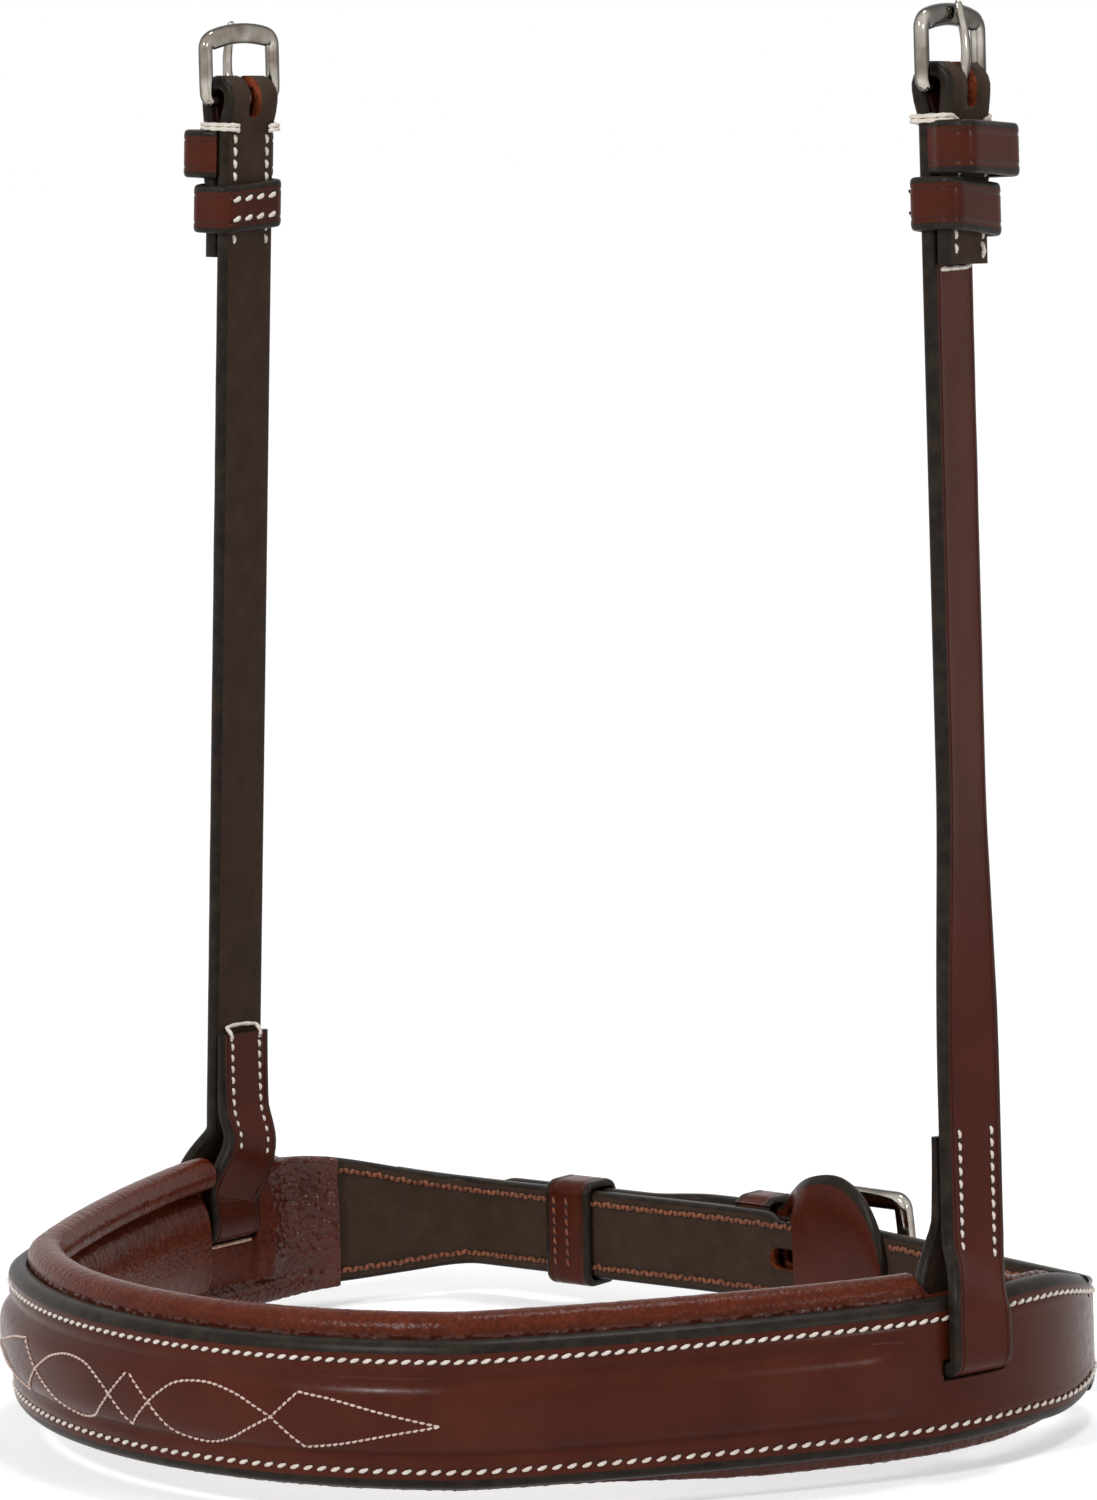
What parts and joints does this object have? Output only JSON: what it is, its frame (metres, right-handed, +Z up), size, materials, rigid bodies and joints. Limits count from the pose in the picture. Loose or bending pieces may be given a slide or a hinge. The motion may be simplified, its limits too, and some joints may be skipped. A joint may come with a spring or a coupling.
{
  "type": "english bridle noseband",
  "caption": "Raised, padded cavesson noseband of an English bridle: a leather ring with hanging side straps, keepers, tongue buckles and a guarded buckle behind.",
  "frame": {"origin": "under the middle of the whole part's box, level with the lowest point, the rear buckle's lower edge", "axes": "-Y towards the nosepiece, +Y towards the rear buckle, X from the left hanger to the right one, +Z up along the hangers"},
  "size_m": [0.2272, 0.1877, 0.2716],
  "materials": {
    "band_leather": "smooth, lightly polished brown bridle leather",
    "strap_leather": "smooth brown bridle leather with dark edges",
    "flesh_leather": "dark brown matt flesh side of bridle leather",
    "lining": "soft, finely wrinkled red-brown lining leather",
    "foam": "closed-cell padding foam, hidden",
    "steel": "polished stainless steel"
  },
  "bodies": {
    "ring": {"nose_face": "band_leather", "nose_backing": "flesh_leather", "raised_core": "foam", "pad_lining": "lining", "pad_roll_foam": "foam", "pad_panel_foam": "foam", "left_hanger_loop": "strap_leather", "right_hanger_loop": "strap_leather", "billet_strap": "strap_leather", "buckle_strap": "strap_leather", "buckle_guard": "strap_leather", "rear_fixed_keeper": "strap_leather"},
    "rear_slider": {"rear_sliding_keeper": "strap_leather"},
    "rear_frame": {"rear_buckle_frame": "steel"},
    "rear_tongue": {"rear_buckle_tongue": "steel"},
    "left_hanger": {"left_hanger_strap": "strap_leather", "left_fixed_keeper": "strap_leather"},
    "left_slider": {"left_sliding_keeper": "strap_leather"},
    "left_frame": {"left_buckle_frame": "steel"},
    "left_tongue": {"left_buckle_tongue": "steel"},
    "right_hanger": {"right_hanger_strap": "strap_leather", "right_fixed_keeper": "strap_leather"},
    "right_slider": {"right_sliding_keeper": "strap_leather"},
    "right_frame": {"right_buckle_frame": "steel"},
    "right_tongue": {"right_buckle_tongue": "steel"}
  },
  "joints": [
    {"name": "rear_keeper_slide", "type": "slide", "parent": "ring", "child": "rear_slider", "axis": [0.9903, 0.1392, 0], "range_m": [-0.014, 0.009]},
    {"name": "rear_frame_swing", "type": "hinge", "parent": "ring", "child": "rear_frame", "pos_m": [0.003, 0.08407, 0.0162], "axis": [0, 0, 1], "range_deg": [0, 4]},
    {"name": "rear_tongue_swing", "type": "hinge", "parent": "rear_frame", "child": "rear_tongue", "pos_m": [0.003, 0.08407, 0.0162], "axis": [0, 0, 1], "range_deg": [0, 2]},
    {"name": "left_hanger_swing", "type": "hinge", "parent": "ring", "child": "left_hanger", "pos_m": [-0.10579, 0.02208, 0.04557], "axis": [0.0834, -0.9668, 0.2415], "range_deg": [-22, 80]},
    {"name": "left_keeper_slide", "type": "slide", "parent": "left_hanger", "child": "left_slider", "axis": [-0.0349, -0.0415, -0.9985], "range_m": [-0.001, 0.09]},
    {"name": "left_frame_swing", "type": "hinge", "parent": "left_hanger", "child": "left_frame", "pos_m": [-0.10003, 0.032, 0.25497], "axis": [0.0859, -0.9956, 0.0384], "range_deg": [-30, 40]},
    {"name": "left_tongue_swing", "type": "hinge", "parent": "left_frame", "child": "left_tongue", "pos_m": [-0.10003, 0.032, 0.25497], "axis": [0.0859, -0.9956, 0.0384], "range_deg": [0, 40]},
    {"name": "right_hanger_swing", "type": "hinge", "parent": "ring", "child": "right_hanger", "pos_m": [0.10579, 0.02208, 0.04557], "axis": [0.0834, 0.9668, -0.2415], "range_deg": [-22, 80]},
    {"name": "right_keeper_slide", "type": "slide", "parent": "right_hanger", "child": "right_slider", "axis": [0.0349, -0.0415, -0.9985], "range_m": [-0.001, 0.09]},
    {"name": "right_frame_swing", "type": "hinge", "parent": "right_hanger", "child": "right_frame", "pos_m": [0.10001, 0.03249, 0.25495], "axis": [-0.1919, 0.9803, -0.0474], "range_deg": [-30, 40]},
    {"name": "right_tongue_swing", "type": "hinge", "parent": "right_frame", "child": "right_tongue", "pos_m": [0.10001, 0.03249, 0.25495], "axis": [-0.1919, 0.9803, -0.0474], "range_deg": [0, 40]}
  ]
}
